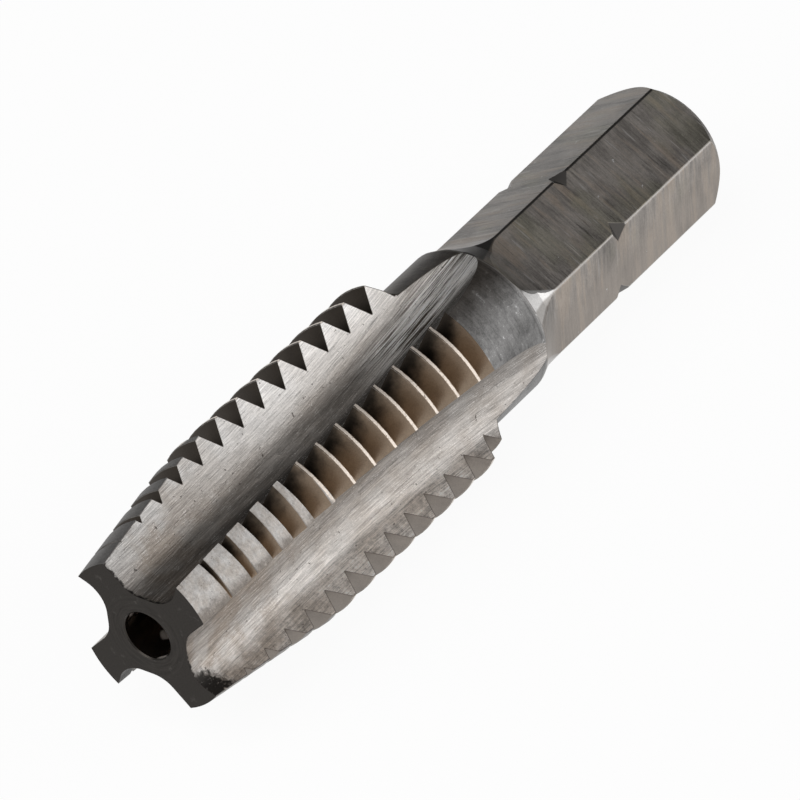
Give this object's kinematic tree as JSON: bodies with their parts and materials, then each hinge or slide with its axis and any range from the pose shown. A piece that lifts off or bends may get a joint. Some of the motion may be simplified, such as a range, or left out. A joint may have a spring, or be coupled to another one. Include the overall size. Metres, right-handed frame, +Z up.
{
  "type": "thread tap",
  "caption": "Short hexagon-drive thread tap with straight flutes, a tapered and relieved lead, a plain neck and a ball-detent ring in the drive end.",
  "frame": {"origin": "centre of the front cutting face, on the tool axis", "axes": "+X runs from the front face to the drive end, +Z is up as the tool lies on its side, and the tool axis dips about 2.8 degrees toward the drive end because the tool rests on its last teeth and on its drive end"},
  "size_m": [0.0405, 0.009, 0.0095],
  "materials": {
    "tool_steel": "ground tool steel, darkened, with bright flutes and crests"
  },
  "bodies": {
    "root": {"tap": "tool_steel"}
  },
  "joints": []
}
